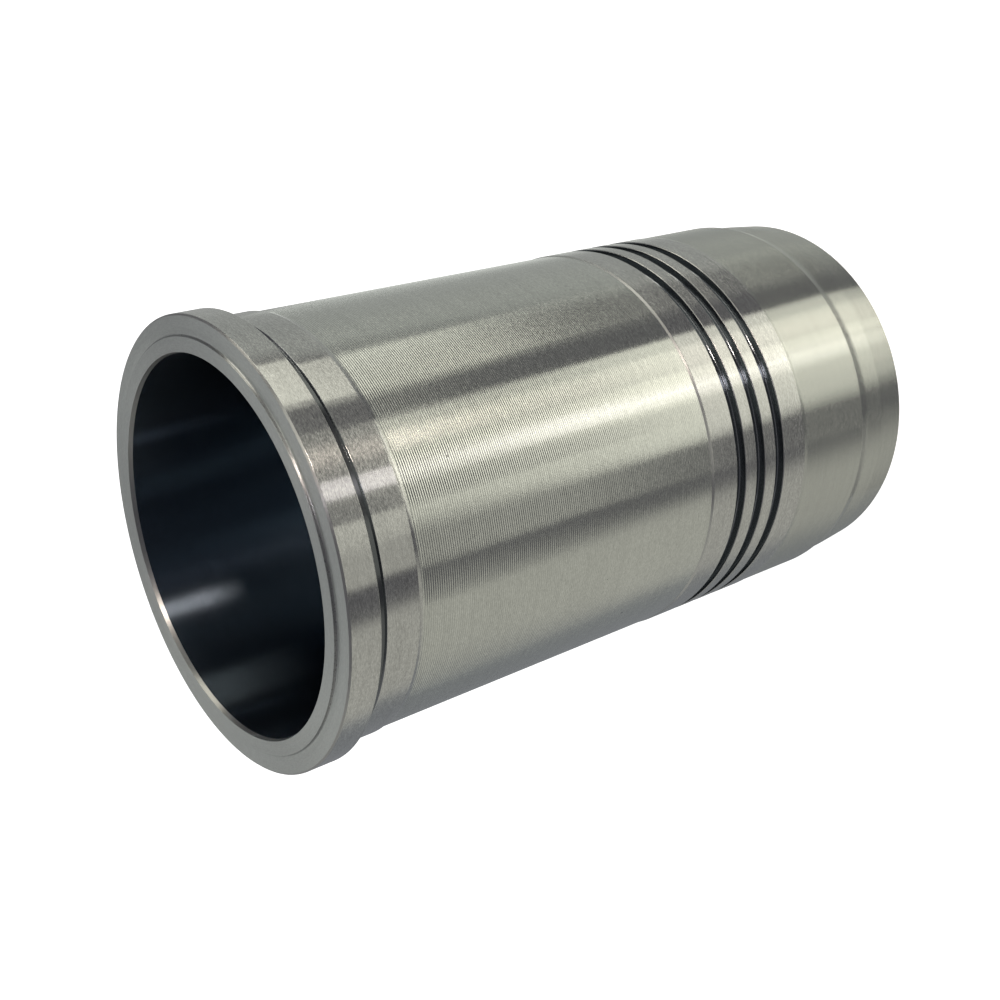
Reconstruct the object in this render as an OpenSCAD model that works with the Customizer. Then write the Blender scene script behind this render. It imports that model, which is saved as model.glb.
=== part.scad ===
// Wet cylinder liner for a heavy duty diesel engine.
// One body of revolution, cast and turned all over, standing on its lower end with the flange up.
// Millimetres. Heights count from the lower end face, radii from the axis of the bore.

/* [Overall] */
// Overall length, from the lower end face to the top of the fire ring
liner_len = 287; // [230:1:345]
// Diameter of the honed bore
bore_d = 139.7; // [110:0.1:168]
// Wall thickness of the plain jacket between the collar and the seal land
jacket_wall = 8.9; // [7.3:0.1:14]

/* [Flange] */
// Thickness of the flange, from its seat to its outer top face
flange_t = 12; // [8:0.1:18]
// How far the flange stands out past the pilot collar, which is the width of its seat
seat_w = 3.9; // [2.5:0.1:9]
// Edge break at the flange's top outer edge
flange_edge = 0.65; // [0.2:0.05:1.2]
// Edge break at the outer edge of the seat
seat_edge = 0.3; // [0.1:0.05:1]

/* [Fire ring] */
// Height of the raised fire ring over the flange's top face
ring_h = 1.05; // [0.7:0.05:2]
// Thickness of the fire ring, from the bore to its outer wall
ring_w = 6; // [4:0.05:8]
// Rounding of the ring's outer top edge
ring_round = 0.35; // [0.1:0.05:0.45]
// Fillet at the foot of the ring's outer wall
ring_foot = 0.8; // [0.2:0.05:1]
// Width of the shallow relief that slopes out from the foot of the ring
relief_w = 2; // [1:0.1:4]
// Depth of that relief
relief_deep = 0.15; // [0.05:0.01:0.3]

/* [Bore ends] */
// Width of the lead-in chamfer at the top of the bore
mouth_w = 0.45; // [0.2:0.05:1.5]
// Height of that chamfer
mouth_h = 1.7; // [0.5:0.1:4]
// Width of the chamfer at the bottom of the bore
exit_w = 0.8; // [0.2:0.05:2]
// Height of that chamfer
exit_h = 1.4; // [0.5:0.1:4]

/* [Pilot collar] */
// How far the collar stands proud of the jacket, on the radius
collar_rise = 0.65; // [0.3:0.05:2]
// Length of the collar's ground face
collar_len = 12.8; // [6:0.1:24]
// Length of the slope from the collar down to the jacket
collar_run = 1.6; // [0.8:0.1:5]
// Radius that blends that slope into the jacket
collar_blend = 6; // [1:0.5:10]
// Length of the grinding undercut between the seat and the collar
undercut_w = 4.6; // [2.5:0.1:8]
// Depth of the undercut below the collar, on the radius
undercut_deep = 0.6; // [0.2:0.05:1.5]
// Fillet in the corner between the undercut and the seat
undercut_fillet = 0.8; // [0.2:0.05:1.6]

/* [Seal land] */
// How far the seal land stands proud of the jacket, on the radius
land_rise = 0.35; // [0.1:0.05:1.5]
// Length of the slope at the top of the land
land_run = 1; // [0.4:0.1:3]
// Length of the land above the top seal groove
land_over = 12.9; // [6:0.1:20]
// Length of the land below the bottom seal groove
land_under = 12.6; // [6:0.1:16]
// Number of seal grooves
seal_count = 3; // [1:1:3]
// Height of the top groove's upper wall
seal_at = 106.1; // [95:0.1:110]
// Pitch from one seal groove to the next
seal_pitch = 11.05; // [8:0.05:13.5]
// Width of a seal groove between its walls
groove_w = 4.7; // [3:0.1:6]
// Depth of a seal groove below the land
groove_deep = 3.1; // [2:0.1:4.2]
// Fillet in the floor corners of a groove
groove_round = 0.6; // [0.2:0.1:1]
// Edge break at the lips of a groove
groove_lip = 0.25; // [0.05:0.05:0.5]

/* [Skirt] */
// Drop from the land to the skirt, on the radius
skirt_drop = 0.25; // [0.1:0.05:1]
// Length of that slope
skirt_run = 1.7; // [0.5:0.1:4]
// Height at which the skirt ends and the entry step starts
step_at = 29.6; // [25:0.1:34]
// Length of the entry step
step_run = 4.5; // [2:0.1:7]
// Drop of the entry step, on the radius
step_drop = 1.35; // [0.5:0.05:2]
// Height at which the lead-in taper starts
lead_at = 14.6; // [6:0.1:17]
// Drop of the relieved band between the step and the lead-in taper, on the radius
band_drop = 0.5; // [0.1:0.05:1]
// Drop of the lead-in taper, on the radius
lead_drop = 1.4; // [0.5:0.05:2]
// Edge break at the lower end's outer edge
end_edge = 0.3; // [0.1:0.05:1]

/* [Hidden] */
round_fn = 240;
arc_step = 11.25;
iron = [0.57, 0.58, 0.56];

// Radii, each built up from the one inside it
bore_r = bore_d / 2;
jacket_r = bore_r + jacket_wall;
collar_r = jacket_r + collar_rise;
undercut_r = collar_r - undercut_deep;
flange_r = collar_r + seat_w;
ring_r = bore_r + ring_w;
relief_out = ring_r + ring_foot + relief_w;
land_r = jacket_r + land_rise;
floor_r = land_r - groove_deep;
skirt_r = land_r - skirt_drop;
step_r = skirt_r - step_drop;
lead_r = step_r - band_drop;
end_r = lead_r - lead_drop;

// Heights: the flange end counts down from the top, the seal land and the skirt up from the bottom
face_z = liner_len - ring_h;
relief_z = face_z - relief_deep;
seat_z = face_z - flange_t;
collar_top = seat_z - undercut_w;
collar_bottom = collar_top - collar_len;
jacket_top = collar_bottom - collar_run;
land_top = seal_at + land_over;
jacket_bottom = land_top + land_run;
groove_z = [for (i = [seal_count - 1:-1:0]) seal_at - i * seal_pitch - groove_w];
land_bottom = groove_z[0] - land_under;
skirt_top = land_bottom - skirt_run;
step_z = step_at - step_run;

// Each fillet stays within the wall that it rounds
ring_wall = ring_h + relief_deep;
rim_round = min(ring_round, ring_wall * 0.3);
foot_round = min(ring_foot, ring_wall * 0.68);
seat_round = min(undercut_fillet, undercut_w / 3);
floor_round = min(groove_round, groove_w * 0.4, groove_deep * 0.4);

function toward(p, q) = (q - p) / norm(q - p);

// Points of the arc of radius r that rounds corner p between its neighbours a and b
function blend(a, p, b, r) =
    let (
        u = toward(p, a),
        v = toward(p, b),
        half = acos(u * v) / 2,
        centre = p + (u + v) / norm(u + v) * r / sin(half),
        from = p + u * r / tan(half) - centre,
        sweep = (180 - 2 * half) * sign(cross(v, u)),
        start = atan2(from.y, from.x),
        steps = ceil(abs(sweep) / arc_step)
    )
    [for (i = [0:steps]) centre + r * [cos(start + sweep * i / steps), sin(start + sweep * i / steps)]];

// One seal groove, from its lower lip to its upper one. z is its lower wall.
function seal_groove(z) =
    let (top = z + groove_w, low = [floor_r, z], high = [floor_r, top])
    [
        [land_r, z - groove_lip],
        [land_r - groove_lip, z],
        each blend([land_r, z], low, high, floor_round),
        each blend(low, high, [land_r, top], floor_round),
        [land_r - groove_lip, top],
        [land_r, top + groove_lip]
    ];

// The skirt, from the lower end face up to the seal land
skirt = [
    [bore_r + exit_w, 0],
    [end_r - end_edge, 0],
    [end_r, end_edge],
    [lead_r, lead_at],
    [step_r, step_z],
    [skirt_r, step_at],
    [skirt_r, skirt_top],
    [land_r, land_bottom]
];

// The top of the land and the jacket, with a soft foot where the collar's slope meets the jacket
jacket_foot = [jacket_r, jacket_bottom];
slope_foot = [jacket_r, jacket_top];
slope_head = [collar_r, collar_bottom];
jacket = [
    [land_r, land_top],
    jacket_foot,
    each blend(jacket_foot, slope_foot, slope_head, collar_blend),
    slope_head
];

// The pilot collar, the undercut and the flange
undercut_end = [undercut_r, collar_top + undercut_deep];
seat_corner = [undercut_r, seat_z];
seat_end = [flange_r - seat_edge, seat_z];
flange = [
    [collar_r, collar_top],
    undercut_end,
    each blend(undercut_end, seat_corner, seat_end, seat_round),
    seat_end,
    [flange_r, seat_z + seat_edge],
    [flange_r, face_z - flange_edge],
    [flange_r - flange_edge, face_z]
];

// The fire ring with the relief round its foot, then down the mouth of the bore
relief_end = [relief_out, face_z];
ring_corner = [ring_r, relief_z];
ring_edge = [ring_r, liner_len];
ring_inner = [bore_r + mouth_w, liner_len];
fire_ring = [
    relief_end,
    each blend(relief_end, ring_corner, ring_edge, foot_round),
    each blend(ring_corner, ring_edge, ring_inner, rim_round),
    ring_inner,
    [bore_r, liner_len - mouth_h],
    [bore_r, exit_h]
];

// The finished section, on one side of the axis
module section() {
    polygon([
        each skirt,
        for (z = groove_z) each seal_groove(z),
        each jacket,
        each flange,
        each fire_ring
    ]);
}

module cylinder_liner() {
    color(iron) rotate_extrude($fn = round_fn) section();
}

cylinder_liner();
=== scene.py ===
import math

import bmesh
import bpy
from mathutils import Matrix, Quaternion, Vector


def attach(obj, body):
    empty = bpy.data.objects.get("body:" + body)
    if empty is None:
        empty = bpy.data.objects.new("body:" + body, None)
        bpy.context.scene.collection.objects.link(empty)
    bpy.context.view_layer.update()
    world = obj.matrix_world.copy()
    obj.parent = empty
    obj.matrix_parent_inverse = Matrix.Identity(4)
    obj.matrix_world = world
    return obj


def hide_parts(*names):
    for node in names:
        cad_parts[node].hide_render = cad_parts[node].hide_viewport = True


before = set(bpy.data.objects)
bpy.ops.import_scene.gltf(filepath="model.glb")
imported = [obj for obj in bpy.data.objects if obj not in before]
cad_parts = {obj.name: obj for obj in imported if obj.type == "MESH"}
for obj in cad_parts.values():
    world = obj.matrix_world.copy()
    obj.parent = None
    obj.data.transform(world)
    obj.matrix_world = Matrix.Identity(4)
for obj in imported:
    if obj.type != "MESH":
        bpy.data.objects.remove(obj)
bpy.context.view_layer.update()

# Camera
# The photograph shows the liner lying down, and here it stands on its lower end. So the camera
# looks down on it and is rolled onto its side, which gives the photograph's view of the part.
scene = bpy.context.scene
camera_place = Vector((0.0, -0.45272, 0.48385))
camera_looks = Vector((-0.02319, 0.81690, -0.57632))
camera_roll = math.radians(-107.403)

lens = bpy.data.cameras.new("camera")
lens.lens = 49.594
lens.sensor_width = 36.0
lens.clip_start = 0.01
lens.clip_end = 60.0
camera = bpy.data.objects.new("camera", lens)
camera.rotation_mode = "QUATERNION"
camera.location = camera_place
camera.rotation_quaternion = camera_looks.to_track_quat("-Z", "Y") @ Quaternion((0, 0, 1), camera_roll)
scene.collection.objects.link(camera)
scene.camera = camera
scene.view_settings.view_transform = "Standard"

# Floor
# A sheet of plain pale card, far wider than the view. It is lit evenly from below as a light
# table is, and the bright iron mirrors the soft boxes and not the card.
floor_half = 12.0
card_white = (0.86, 0.87, 0.87)
card_shade = (0.834, 0.844, 0.844)
card_glow = 1.0
card_fibres = 900.0

card = bpy.data.materials.new("pale_card")
card.use_nodes = True
card_nodes = card.node_tree.nodes
card_links = card.node_tree.links
card_shader = card_nodes["Principled BSDF"]
card_shader.inputs["Roughness"].default_value = 0.9
card_shader.inputs["Specular IOR Level"].default_value = 0.2
card_shader.inputs["Emission Color"].default_value = (1.0, 1.0, 1.0, 1.0)
card_shader.inputs["Emission Strength"].default_value = card_glow
card_place = card_nodes.new("ShaderNodeTexCoord")
card_grain = card_nodes.new("ShaderNodeTexNoise")
card_grain.inputs["Scale"].default_value = card_fibres
card_grain.inputs["Detail"].default_value = 3.0
card_tone = card_nodes.new("ShaderNodeMix")
card_tone.data_type = "RGBA"
card_tone.inputs["A"].default_value = (*card_white, 1.0)
card_tone.inputs["B"].default_value = (*card_shade, 1.0)
card_links.new(card_place.outputs["Object"], card_grain.inputs["Vector"])
card_links.new(card_grain.outputs["Fac"], card_tone.inputs["Factor"])
card_links.new(card_tone.outputs["Result"], card_shader.inputs["Base Color"])

floor_bm = bmesh.new()
bmesh.ops.create_grid(floor_bm, x_segments=1, y_segments=1, size=floor_half)
floor_mesh = bpy.data.meshes.new("floor")
floor_bm.to_mesh(floor_mesh)
floor_bm.free()
floor_mesh.materials.append(card)
floor = bpy.data.objects.new("floor", floor_mesh)
floor.visible_glossy = False
floor.visible_shadow = False
scene.collection.objects.link(floor)

# Mat
# A round mat of the same card lies under the sheet, below the open end of the bore. The sheet
# itself stops no light, so the mat keeps the low soft boxes from shining up the bore.
mat_radius = 0.0725
mat_below = 0.0002
mat_bm = bmesh.new()
bmesh.ops.create_circle(mat_bm, cap_ends=True, segments=96, radius=mat_radius)
mat_mesh = bpy.data.meshes.new("mat")
mat_bm.to_mesh(mat_mesh)
mat_bm.free()
mat_mesh.materials.append(card)
mat = bpy.data.objects.new("mat", mat_mesh)
mat.location.z = -mat_below
mat.visible_glossy = False
scene.collection.objects.link(mat)

# Studio light
# Soft boxes stand in a ring round the liner, and most of them reach below the floor's level,
# because the outer walls mirror what lies below the camera's line. The high ones show in the
# seal grooves and the fire ring, and the small one just above the mouth lights the bore.
ring_of_light = 5.0
light_height = 0.2


def softbox(name, start, end, low, high, level, tint, lean=0.0, level_at=-45.0):
    """A box that fills the given compass angles and elevations, as seen from the liner.

    The compass counts from the camera's side round towards -X. A box with a lean is slanted, and
    keeps its place at the elevation level_at.
    """
    middle = math.radians((start + end) / 2)
    slant = math.radians(lean)
    width = 2 * ring_of_light * math.tan(math.radians(end - start) / 2)
    bottom, top, pivot = (ring_of_light * math.tan(math.radians(a)) for a in (low, high, level_at))
    lamp = bpy.data.lights.new(name, "AREA")
    lamp.shape = "RECTANGLE"
    lamp.size = width * math.cos(slant)
    lamp.size_y = (top - bottom) / math.cos(slant)
    lamp.color = tint
    lamp.energy = level * math.pi * lamp.size * lamp.size_y
    box = bpy.data.objects.new(name, lamp)
    out = Vector((-math.sin(middle), -math.cos(middle), 0))
    across = Vector((math.cos(middle), -math.sin(middle), 0))
    centre = (bottom + top) / 2
    box.location = out * ring_of_light + across * math.tan(slant) * (pivot - centre)
    box.location.z = light_height + centre
    box.rotation_mode = "QUATERNION"
    box.rotation_quaternion = (-out).to_track_quat("-Z", "Y") @ Quaternion((0, 0, 1), slant)
    box.visible_camera = False
    scene.collection.objects.link(box)


warm = (1.0, 0.95, 0.84)
cream = (1.0, 0.98, 0.88)
lilac = (1.0, 0.92, 0.97)
leaf = (0.96, 1.0, 0.94)
cool = (0.85, 0.94, 1.0)
rose = (1.0, 0.85, 0.77)

# The upper side of the picture: the back, its bright rim, and the cream band below it
softbox("back_upper", -180, -88, -80, -5, 0.30, leaf)
softbox("back_rim", -180, -148, -80, -28, 0.43, leaf)
softbox("upper_cream", -84, -55, -24, -8, 0.85, cream, lean=14, level_at=-30)
softbox("upper_edge", -84, -58, -29.5, -20, 1.20, cream, lean=14, level_at=-30)

# The broad highlight along the middle, brightest towards the lower end
softbox("key_wide", -46, -12, -64, -39, 1.14, cream, lean=16)
softbox("key_mid", -38, -12, -64, -42, 0.50, warm, lean=14)
softbox("key_core", -24, -5, -64, -38, 0.50, warm, lean=8)
softbox("front_wide", -14, 20, -64, -38, 1.10, cream, lean=8)
softbox("front_deep", -20, 9, -66, -50, 0.60, warm, lean=8)
softbox("front_right", 5, 36, -36, -5, 0.52, cream)
softbox("lamp", -16, -7, -36, -22, 1.50, lilac)

# High boxes for the fire ring and the grooves, and low ones for the mouth and the bore
softbox("key_top", -75, -34, 42, 62, 1.50, cream)
softbox("lamp_top", -15, -8, 44, 54, 11.00, lilac)
softbox("mouth_low", -80, -20, -12, 5, 0.90, cream)
softbox("streak_lamp", -30, -22, 9, 16, 46.00, rose)
softbox("haze_lamp", -100, -75, 6, 24, 3.50, warm)

# The lower side of the picture
softbox("lower_wall", 52, 110, -70, 10, 0.38, cream, lean=5)
softbox("lower_back", 110, 180, -60, 5, 0.13, cool)
softbox("lower_high", 88, 176, 5, 45, 0.15, cream)

# One wide box overhead lights the end face
overhead_place = Vector((0.0, 2.0, 2.4))
overhead_level = 0.44
overhead = bpy.data.lights.new("overhead", "AREA")
overhead.shape = "RECTANGLE"
overhead.size = 4.0
overhead.size_y = 2.4
overhead.energy = overhead_level * math.pi * overhead.size * overhead.size_y
overhead_box = bpy.data.objects.new("overhead", overhead)
overhead_box.location = overhead_place
overhead_box.rotation_mode = "QUATERNION"
overhead_box.rotation_quaternion = (-overhead_place).to_track_quat("-Z", "Y")
overhead_box.visible_camera = False
scene.collection.objects.link(overhead_box)

room_tint = (0.93, 0.91, 1.0, 1.0)
room_level = 0.15
room = bpy.data.worlds.new("room")
room.use_nodes = True
room.node_tree.nodes["Background"].inputs["Color"].default_value = room_tint
room.node_tree.nodes["Background"].inputs["Strength"].default_value = room_level
scene.world = room

# Liner
# One iron casting, turned all over in the lathe. The collar, the lands and the flange's rim are
# ground, the grooves are cut with a form tool, and the bore is honed last.
mm = 0.001
micron = 0.000001
facets_round = 360

# Radii in millimetres, each built up from the one inside it
bore_r = 69.85
ring_r = bore_r + 6.0
jacket_r = bore_r + 8.9
collar_r = jacket_r + 0.65
undercut_depth = 0.6
undercut_r = collar_r - undercut_depth
flange_r = collar_r + 3.9
land_r = jacket_r + 0.35
groove_r = land_r - 3.1
skirt_r = land_r - 0.25
step_r = skirt_r - 1.35
lead_r = step_r - 0.5
end_r = lead_r - 1.4

# Heights in millimetres: the flange end counts down from the top, the land and skirt up
top_z = 287.0
face_z = top_z - 1.05
relief_z = face_z - 0.15
seat_z = face_z - 12.0
collar_top = seat_z - 4.6
collar_foot = collar_top - 12.8
jacket_top = collar_foot - 1.6
seal_z = 106.1
seal_pitch = 11.05
groove_w = 4.7
land_top = seal_z + 12.9
land_slope_foot = land_top + 1.0
land_foot = seal_z - 2 * seal_pitch - groove_w - 12.6
skirt_top = land_foot - 1.7
step_top = 29.6
step_foot = 25.1
lead_z = 14.6

# Chamfers in millimetres: the broken edges, the end face's rim, the relief, and both bore mouths
edge_break = 0.3
rim_break = 0.65
groove_lip = 0.25
relief_w = 2.8
mouth_in, mouth_down = 0.45, 1.7
foot_in, foot_up = 0.8, 1.4

# Roundings of the corners in millimetres, from a deburred edge to the long blends of the collar
# and the step. What is larger than a small one gets more facets.
crisp = 0.06
soft = 0.10
land_round = 0.25
small = 0.3
ring_round = 0.35
step_round = 0.4
groove_fillet = 0.6
foot_fillet = 0.8
collar_blend = 1.17
step_blend = 1.4
few_facets, many_facets = 2, 6


def seal_groove(upper):
    """Corners of one groove from its lower lip up; the height is that of its upper wall."""
    lower = upper - groove_w
    return [
        (land_r, lower - groove_lip, crisp, "edge"),
        (land_r - groove_lip, lower, crisp, "groove"),
        (groove_r, lower, groove_fillet, "groove"),
        (groove_r, upper, groove_fillet, "groove"),
        (land_r - groove_lip, upper, crisp, "edge"),
        (land_r, upper + groove_lip, crisp, "ground"),
    ]


# Corners of the section: radius, height, rounding, and the finish of the wall that runs from
# this corner to the next. Up the outside first, then down the bore.
outline = [
    (bore_r + foot_in, 0.0, crisp, "faced"),
    (end_r - edge_break, 0.0, crisp, "edge"),
    (end_r, edge_break, crisp, "skirt"),
    (lead_r, lead_z, ring_round, "skirt"),
    (step_r, step_foot, step_blend, "skirt"),
    (skirt_r, step_top, step_round, "skirt"),
    (skirt_r, skirt_top, foot_fillet, "skirt"),
    (land_r, land_foot, land_round, "ground"),
    *seal_groove(seal_z - 2 * seal_pitch),
    *seal_groove(seal_z - seal_pitch),
    *seal_groove(seal_z),
    (land_r, land_top, land_round, "edge"),
    (jacket_r, land_slope_foot, soft, "turned"),
    (jacket_r, jacket_top, collar_blend, "ground"),
    (collar_r, collar_foot, soft, "ground"),
    (collar_r, collar_top, soft, "groove"),
    (undercut_r, collar_top + undercut_depth, crisp, "undercut"),
    (undercut_r, seat_z, foot_fillet, "undercut"),
    (flange_r - edge_break, seat_z, crisp, "edge"),
    (flange_r, seat_z + edge_break, crisp, "ground"),
    (flange_r, face_z - rim_break, soft, "edge"),
    (flange_r - rim_break, face_z, soft, "faced"),
    (ring_r + relief_w, face_z, soft, "faced"),
    (ring_r, relief_z, foot_fillet, "polished"),
    (ring_r, top_z, ring_round, "faced"),
    (bore_r + mouth_in, top_z, crisp, "edge"),
    (bore_r, top_z - mouth_down, crisp, "honed"),
    (bore_r, foot_up, crisp, "edge"),
]

# The section is spun into a ring, one band of faces to a wall
bm = bmesh.new()
corners = [bm.verts.new((r * mm, 0, z * mm)) for r, z, _, _ in outline]
walls = [bm.edges.new((a, b)) for a, b in zip(corners, corners[1:] + corners[:1])]
bmesh.ops.spin(
    bm,
    geom=corners + walls,
    cent=(0, 0, 0),
    axis=(0, 0, 1),
    angle=math.tau,
    steps=facets_round,
    use_merge=True,
)
bmesh.ops.remove_doubles(bm, verts=bm.verts[:], dist=1e-7)

finishes = ("turned", "skirt", "ground", "edge", "polished", "groove", "undercut", "faced", "honed")
wall_middles = [
    ((r + next_r) / 2 * mm, (z + next_z) / 2 * mm, finishes.index(finish))
    for (r, z, _, finish), (next_r, next_z, _, _) in zip(outline, outline[1:] + outline[:1])
]
for face in bm.faces:
    centre = face.calc_center_median()
    radius = math.hypot(centre.x, centre.y)
    nearest = min(wall_middles, key=lambda wall: abs(wall[0] - radius) + abs(wall[1] - centre.z))
    face.material_index = nearest[2]

# Each corner's circle is rounded, all of one size together
rounding_of = {(round(r, 2), round(z, 2)): rounding for r, z, rounding, _ in outline}
for size in sorted(set(rounding_of.values())):
    circles = []
    for edge in bm.edges:
        ends = {(round(math.hypot(v.co.x, v.co.y) / mm, 2), round(v.co.z / mm, 2)) for v in edge.verts}
        if len(ends) == 1 and rounding_of.get(ends.pop()) == size:
            circles.append(edge)
    bmesh.ops.bevel(
        bm,
        geom=circles,
        offset=size * mm,
        offset_type="OFFSET",
        segments=many_facets if size > small else few_facets,
        profile=0.5,
        affect="EDGES",
        material=-1,
        clamp_overlap=True,
    )
bmesh.ops.recalc_face_normals(bm, faces=bm.faces[:])
for face in bm.faces:
    face.smooth = True
liner_mesh = bpy.data.meshes.new("liner")
bm.to_mesh(liner_mesh)
bm.free()


# Finishes
# Bare iron throughout, but the grooves, the undercut, the fire ring's wall and the bore are
# given darker colours as painted shade. The tool leaves fine grooves round the axis, so a
# highlight spreads across them, and the surface has a fine grain of light and dark. Heights
# are in microns.
quarter_turn = 0.25
grit_low, grit_high = 0.35, 0.65
cloud_depth = 0.015
streak_share = 0.4
brush_gloss, grit_gloss = 0.07, 0.10

# The jacket's turning marks: how far apart they are and how they wander, where they fade out
# towards the seal land, the painted shade in their troughs and painted light on their crests,
# and the gloss of both
mark_pitch = 0.89 * mm
mark_wander = 1.5
marks_faint_at, marks_full_at = 145 * mm, 245 * mm
marks_faintest = 0.15
mark_painted_shade = 0.10
trough_rough, crest_rough = 1.2, 0.7

# The honing crosses itself in the bore, turning so many radians to the metre
hone_twist = 30.7
scratch_height = 10.0

# A few small dark pits in the outer walls, one to a cell at the most
pits_to_metre = 120.0
pit_reach = 0.06
pit_edge = 0.012
pit_dark = 0.45


def node(tree, kind, **values):
    """Adds a node, and sets its own options and the values of its inputs."""
    made = tree.nodes.new("ShaderNode" + kind)
    for name, value in values.items():
        if hasattr(made, name):
            setattr(made, name, value)
        else:
            made.inputs[name.replace("_", " ")].default_value = value
    return made


def maths(tree, operation, first, second=None):
    """Adds a sum, product or other operation on two values, each a number or a node's output."""
    made = tree.nodes.new("ShaderNodeMath")
    made.operation = operation
    for socket, value in zip(made.inputs, (first, second)):
        if isinstance(value, bpy.types.NodeSocket):
            tree.links.new(value, socket)
        elif value is not None:
            socket.default_value = value
    return made.outputs[0]


def ranged(tree, value, low, high, to_low, to_high):
    """Takes a value from one range to another, and holds it inside the new range."""
    made = node(tree, "MapRange")
    tree.links.new(value, made.inputs["Value"])
    for name, number in zip(("From Min", "From Max", "To Min", "To Max"), (low, high, to_low, to_high)):
        made.inputs[name].default_value = number
    return made.outputs["Result"]


def varied(tree, value, amount, low=0.3, high=0.7):
    """Turns a noise into a factor that lies round 1, by so much each way."""
    return ranged(tree, value, low, high, 1 - amount, 1 + amount)


def tool_lay(tree, place, around, along, detail, seed):
    """Streaks that run round the axis: so many to the metre round it, and along it."""
    mapping = node(tree, "Mapping")
    mapping.inputs["Scale"].default_value = (around, around, along)
    mapping.inputs["Location"].default_value = (seed, seed * 0.7, seed * 1.3)
    tree.links.new(place, mapping.inputs["Vector"])
    noise = node(tree, "TexNoise", Scale=1.0, Detail=detail, Roughness=0.6)
    tree.links.new(mapping.outputs[0], noise.inputs["Vector"])
    return noise.outputs["Fac"]


def facing_place(tree, parts):
    """On an end face the tool marks are rings, so the distance from the axis stands in for the height."""
    flat = node(tree, "CombineXYZ")
    rings = node(tree, "CombineXYZ")
    from_axis = node(tree, "VectorMath", operation="LENGTH")
    for axis in ("X", "Y"):
        tree.links.new(parts.outputs[axis], flat.inputs[axis])
        tree.links.new(parts.outputs[axis], rings.inputs[axis])
    tree.links.new(flat.outputs[0], from_axis.inputs[0])
    tree.links.new(from_axis.outputs["Value"], rings.inputs["Z"])
    return rings.outputs[0]


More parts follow.
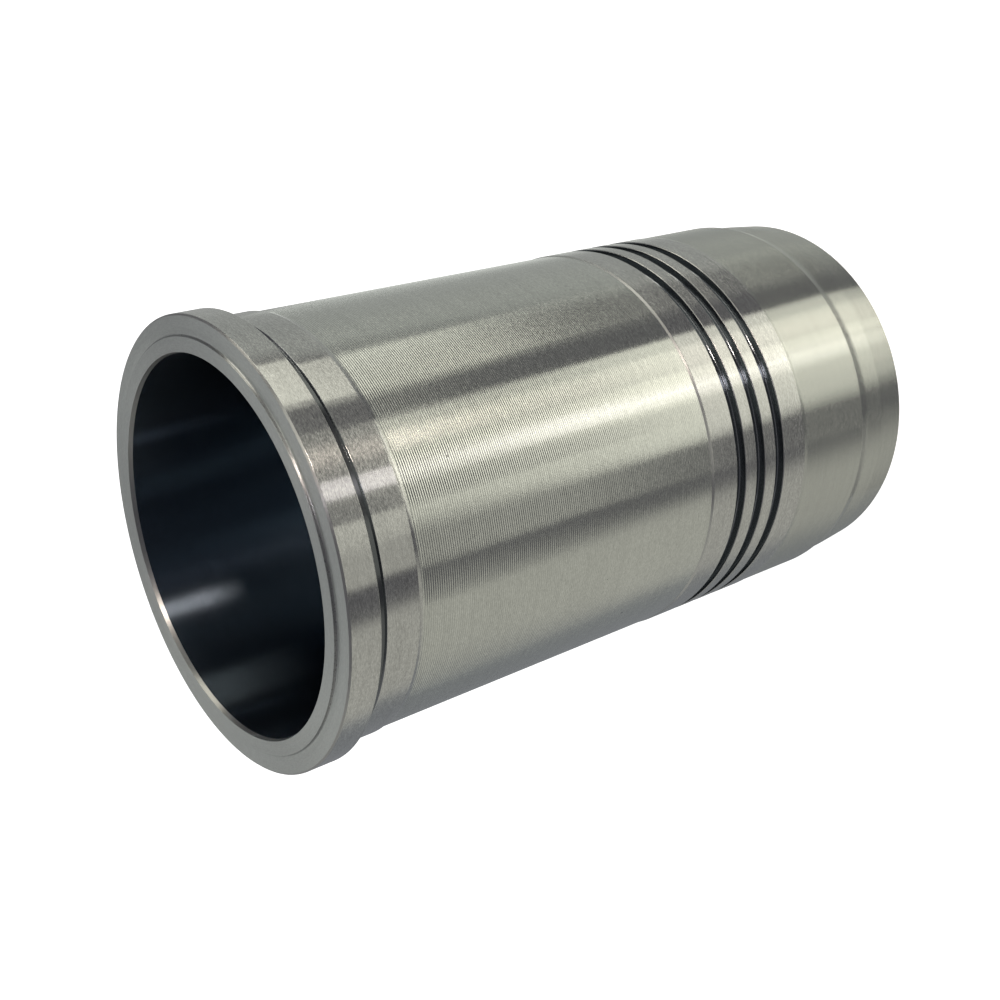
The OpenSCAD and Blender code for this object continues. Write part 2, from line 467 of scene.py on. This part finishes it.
def iron(name, colour, roughness, lay, grain, height=2.0, marks=0.0, hone=0.0, pits=0.0, on_face=False):
    """Machined iron. The lay is how far the tool's grooves spread a highlight, and grain, marks, hone
    and pits say how strongly each of them shows.
    """
    made = bpy.data.materials.new(name)
    made.use_nodes = True
    tree = made.node_tree
    shader = tree.nodes["Principled BSDF"]
    shader.inputs["Metallic"].default_value = 1.0
    shader.inputs["Anisotropic"].default_value = lay
    shader.inputs["Anisotropic Rotation"].default_value = quarter_turn
    place = node(tree, "TexCoord").outputs["Object"]
    round_axis = node(tree, "VectorMath", operation="CROSS_PRODUCT")
    round_axis.inputs[0].default_value = (0, 0, 1)
    tree.links.new(place, round_axis.inputs[1])
    tree.links.new(round_axis.outputs["Vector"], shader.inputs["Tangent"])
    parts = node(tree, "SeparateXYZ")
    tree.links.new(place, parts.inputs[0])
    lay_place = facing_place(tree, parts) if on_face else place

    brush = tool_lay(tree, lay_place, around=420.0, along=2600.0, detail=2.0, seed=1.7)
    grit = tool_lay(tree, lay_place, around=900.0, along=2400.0, detail=2.0, seed=2.9)
    streak = tool_lay(tree, lay_place, around=25.0, along=500.0, detail=2.0, seed=4.1)
    cloud = tool_lay(tree, lay_place, around=22.0, along=22.0, detail=4.0, seed=7.3)
    shade = maths(tree, "MULTIPLY", varied(tree, brush, grain), varied(tree, cloud, cloud_depth))
    shade = maths(tree, "MULTIPLY", shade, varied(tree, grit, grain, grit_low, grit_high))
    shade = maths(tree, "MULTIPLY", shade, varied(tree, streak, grain * streak_share))
    relief = maths(tree, "MULTIPLY", maths(tree, "ADD", brush, grit), height)
    brush_sheen = varied(tree, brush, brush_gloss)
    gloss = maths(tree, "MULTIPLY", brush_sheen, varied(tree, grit, grit_gloss, grit_low, grit_high))

    if hone:
        for twist_rate in (hone_twist, -hone_twist):
            twist = node(tree, "VectorRotate", rotation_type="Z_AXIS")
            tree.links.new(place, twist.inputs["Vector"])
            tree.links.new(maths(tree, "MULTIPLY", parts.outputs["Z"], twist_rate), twist.inputs["Angle"])
            scratch = tool_lay(
                tree, twist.outputs[0], around=1400.0, along=40.0, detail=2.0, seed=twist_rate / 10
            )
            shade = maths(tree, "MULTIPLY", shade, varied(tree, scratch, hone))
            relief = maths(tree, "ADD", relief, maths(tree, "MULTIPLY", scratch, scratch_height * hone))

    if marks:
        wander = tool_lay(tree, place, around=30.0, along=60.0, detail=2.0, seed=9.9)
        turns = maths(tree, "MULTIPLY", parts.outputs["Z"], math.tau / mark_pitch)
        wave = maths(tree, "SINE", maths(tree, "ADD", turns, maths(tree, "MULTIPLY", wander, mark_wander)))
        fade = ranged(tree, parts.outputs["Z"], marks_faint_at, marks_full_at, marks_faintest, 1.0)
        wave = maths(tree, "MULTIPLY", wave, fade)
        relief = maths(tree, "ADD", relief, maths(tree, "MULTIPLY", wave, marks))
        # Along the turning marks the troughs get painted shade and the crests painted light
        shade = maths(tree, "MULTIPLY", shade, varied(tree, wave, mark_painted_shade, -1.0, 1.0))
        gloss = maths(tree, "MULTIPLY", gloss, ranged(tree, wave, -1.0, 1.0, trough_rough, crest_rough))

    if pits:
        cell = node(tree, "TexVoronoi", feature="F1", Scale=pits_to_metre)
        tree.links.new(place, cell.inputs["Vector"])
        chance = node(tree, "SeparateColor")
        tree.links.new(cell.outputs["Color"], chance.inputs[0])
        reach = ranged(tree, chance.outputs["Red"], 1 - pits, 1.0, 0.0, pit_reach)
        from_pit = maths(tree, "SUBTRACT", cell.outputs["Distance"], reach)
        shade = maths(tree, "MULTIPLY", shade, ranged(tree, from_pit, -pit_edge, pit_edge, pit_dark, 1.0))

    paint = node(tree, "VectorMath", operation="SCALE")
    paint.inputs[0].default_value = colour
    tree.links.new(shade, paint.inputs["Scale"])
    tree.links.new(paint.outputs["Vector"], shader.inputs["Base Color"])
    tree.links.new(maths(tree, "MULTIPLY", gloss, roughness), shader.inputs["Roughness"])
    bump = node(tree, "Bump", Strength=1.0, Distance=micron)
    tree.links.new(relief, bump.inputs["Height"])
    tree.links.new(bump.outputs["Normal"], shader.inputs["Normal"])
    return made


looks = {
    "turned": iron(
        "turned_jacket", (0.60, 0.62, 0.56), 0.18, lay=1.0, grain=0.10, height=6.0, marks=32.0, pits=0.12
    ),
    "skirt": iron("turned_skirt", (0.57, 0.59, 0.53), 0.23, lay=1.0, grain=0.05, height=2.5, pits=0.05),
    "ground": iron("ground_land", (0.56, 0.57, 0.53), 0.19, lay=1.0, grain=0.14, height=2.5, pits=0.08),
    "edge": iron("broken_edge", (0.55, 0.56, 0.53), 0.38, lay=0.8, grain=0.02),
    # Darker than bare iron: painted shade on the fire ring's wall and the fillet at its foot
    "polished": iron("polished_ring_painted_shade", (0.42, 0.43, 0.42), 0.30, lay=0.8, grain=0.02),
    # Darker than bare iron: painted shade in the seal grooves and on the slope down into the undercut
    "groove": iron("groove_painted_shade", (0.29, 0.31, 0.32), 0.15, lay=0.8, grain=0.02),
    # Near black: painted shade in the undercut under the flange
    "undercut": iron("undercut_painted_shade", (0.13, 0.14, 0.14), 0.20, lay=0.8, grain=0.02),
    "faced": iron("faced_end", (0.53, 0.56, 0.53), 0.40, lay=0.8, grain=0.07, on_face=True),
    # Dark and blue: painted shade inside the bore, with a painted blue cast of the dark room it mirrors
    "honed": iron("honed_bore_painted_shade", (0.185, 0.235, 0.285), 0.23, lay=1.0, grain=0.03, height=0.5, hone=0.07),
}
for finish in finishes:
    liner_mesh.materials.append(looks[finish])

# The finished liner. Its normals lean to the large faces, so the flat walls look flat.
liner = bpy.data.objects.new("liner", liner_mesh)
scene.collection.objects.link(liner)
flatten = liner.modifiers.new("flat walls", "WEIGHTED_NORMAL")
flatten.mode = "FACE_AREA"
flatten.weight = 100
finished = bpy.data.meshes.new_from_object(liner.evaluated_get(bpy.context.evaluated_depsgraph_get()))
liner.modifiers.clear()
liner.data = finished
finished.name = "liner"
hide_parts("cylinder_liner")
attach(liner, "root")
